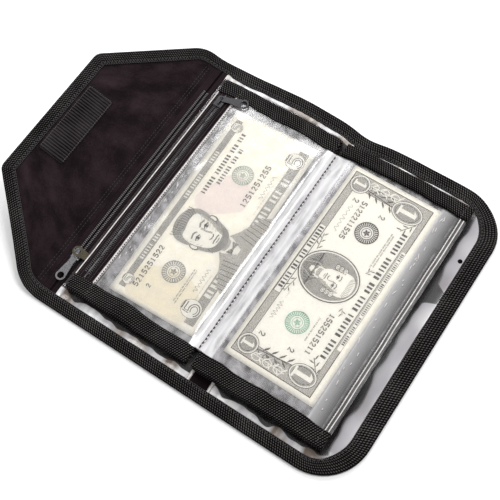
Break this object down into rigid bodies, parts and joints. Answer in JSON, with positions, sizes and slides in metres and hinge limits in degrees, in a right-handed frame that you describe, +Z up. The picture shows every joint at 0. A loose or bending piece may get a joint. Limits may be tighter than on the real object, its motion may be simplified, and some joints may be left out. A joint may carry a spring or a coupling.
{
  "type": "cash envelope wallet",
  "caption": "Open cloth-bound cash wallet with a raised hook-and-loop flap, two clear cover pockets, clear zip leaves sewn at the spine and two notes inside.",
  "frame": {"origin": "on the table, under the middle of the open wallet's bounding box", "axes": "+X along the spine and the notes' length, +Y from the front end towards the flap, +Z up"},
  "size_m": [0.22, 0.3038, 0.0307],
  "materials": {
    "outer_cloth": "woven black nylon, matt",
    "lining": "smooth brown-black nylon lining, slight sheen",
    "binding": "black ribbed binding tape",
    "clear_film": "clear soft vinyl, glossy",
    "zip_tape": "black woven zip tape",
    "coil": "black nylon coil, slight sheen",
    "metal": "gunmetal plated zinc",
    "hook": "black hook tape",
    "loop": "black loop tape, brushed",
    "thread": "white and black stitching",
    "note_paper": "printed cotton paper"
  },
  "bodies": {
    "wallet": {"cover_edge_binding": "binding", "cover_lining_cloth": "lining", "cover_outer_cloth": "outer_cloth", "cover_zip_coil_far": "coil", "cover_zip_coil_near": "coil", "cover_zip_tape_far": "zip_tape", "cover_zip_tape_near": "zip_tape", "front_lower_leaf_back_film": "clear_film", "front_lower_leaf_binding_left": "binding", "front_lower_leaf_binding_right": "binding", "front_lower_leaf_zip_coil_far": "coil", "front_lower_leaf_zip_coil_near": "coil", "front_lower_leaf_zip_film": "clear_film", "front_lower_leaf_zip_tape_far": "zip_tape", "front_lower_leaf_zip_tape_near": "zip_tape", "front_pocket_film": "clear_film", "front_upper_leaf_back_film": "clear_film", "front_upper_leaf_binding_left": "binding", "front_upper_leaf_binding_right": "binding", "front_upper_leaf_zip_coil_far": "coil", "front_upper_leaf_zip_coil_near": "coil", "front_upper_leaf_zip_film": "clear_film", "front_upper_leaf_zip_tape_far": "zip_tape", "front_upper_leaf_zip_tape_near": "zip_tape", "hook_patch": "hook", "loop_patch": "loop", "note_five": "note_paper", "note_one": "note_paper", "rear_lower_leaf_back_film": "clear_film", "rear_lower_leaf_binding_left": "binding", "rear_lower_leaf_binding_right": "binding", "rear_lower_leaf_zip_coil_far": "coil", "rear_lower_leaf_zip_coil_near": "coil", "rear_lower_leaf_zip_film": "clear_film", "rear_lower_leaf_zip_tape_far": "zip_tape", "rear_lower_leaf_zip_tape_near": "zip_tape", "rear_pocket_film": "clear_film", "rear_upper_leaf_back_film": "clear_film", "rear_upper_leaf_binding_left": "binding", "rear_upper_leaf_binding_right": "binding", "rear_upper_leaf_zip_coil_far": "coil", "rear_upper_leaf_zip_coil_near": "coil", "rear_upper_leaf_zip_film": "clear_film", "rear_upper_leaf_zip_tape_far": "zip_tape", "rear_upper_leaf_zip_tape_near": "zip_tape", "seam_thread": "thread"},
    "cover_zip_slider_body": {"cover_zip_slider": "metal"},
    "cover_zip_pull_body": {"cover_zip_pull": "metal"},
    "rear_upper_leaf_zip_slider_body": {"rear_upper_leaf_zip_slider": "metal"},
    "rear_upper_leaf_zip_pull_body": {"rear_upper_leaf_zip_pull": "metal"},
    "rear_lower_leaf_zip_slider_body": {"rear_lower_leaf_zip_slider": "metal"},
    "rear_lower_leaf_zip_pull_body": {"rear_lower_leaf_zip_pull": "metal"},
    "front_upper_leaf_zip_slider_body": {"front_upper_leaf_zip_slider": "metal"},
    "front_upper_leaf_zip_pull_body": {"front_upper_leaf_zip_pull": "metal"},
    "front_lower_leaf_zip_slider_body": {"front_lower_leaf_zip_slider": "metal"},
    "front_lower_leaf_zip_pull_body": {"front_lower_leaf_zip_pull": "metal"}
  },
  "joints": [
    {"name": "cover_zip_slide", "type": "slide", "parent": "wallet", "child": "cover_zip_slider_body", "axis": [1, 0, 0], "range_m": [-0.005, 0.145]},
    {"name": "cover_zip_pull_swivel", "type": "hinge", "parent": "cover_zip_slider_body", "child": "cover_zip_pull_body", "pos_m": [-0.0722, 0.07843, 0.005], "axis": [0, 0, 1], "range_deg": [-25, 12]},
    {"name": "rear_upper_leaf_zip_slide", "type": "slide", "parent": "wallet", "child": "rear_upper_leaf_zip_slider_body", "axis": [1, 0, 0], "range_m": [-0.15, 0]},
    {"name": "rear_upper_leaf_zip_pull_swivel", "type": "hinge", "parent": "rear_upper_leaf_zip_slider_body", "child": "rear_upper_leaf_zip_pull_body", "pos_m": [0.0772, 0.06213, 0.005], "axis": [0, 0, 1], "range_deg": [-40, 190]},
    {"name": "rear_lower_leaf_zip_slide", "type": "slide", "parent": "wallet", "child": "rear_lower_leaf_zip_slider_body", "axis": [1, 0, 0], "range_m": [-0.003, 0.144]},
    {"name": "rear_lower_leaf_zip_pull_swivel", "type": "hinge", "parent": "rear_lower_leaf_zip_slider_body", "child": "rear_lower_leaf_zip_pull_body", "pos_m": [-0.0698, 0.06213, 0.005], "axis": [0, 0, 1], "range_deg": [-25, 25]},
    {"name": "front_upper_leaf_zip_slide", "type": "slide", "parent": "wallet", "child": "front_upper_leaf_zip_slider_body", "axis": [1, 0, 0], "range_m": [-0.132, 0.012]},
    {"name": "front_upper_leaf_zip_pull_swivel", "type": "hinge", "parent": "front_upper_leaf_zip_slider_body", "child": "front_upper_leaf_zip_pull_body", "pos_m": [0.0622, -0.12187, 0.005], "axis": [0, 0, 1], "range_deg": [-10, 10]},
    {"name": "front_lower_leaf_zip_slide", "type": "slide", "parent": "wallet", "child": "front_lower_leaf_zip_slider_body", "axis": [1, 0, 0], "range_m": [-0.012, 0.132]},
    {"name": "front_lower_leaf_zip_pull_swivel", "type": "hinge", "parent": "front_lower_leaf_zip_slider_body", "child": "front_lower_leaf_zip_pull_body", "pos_m": [-0.0578, -0.12187, 0.005], "axis": [0, 0, 1], "range_deg": [-10, 10]}
  ]
}
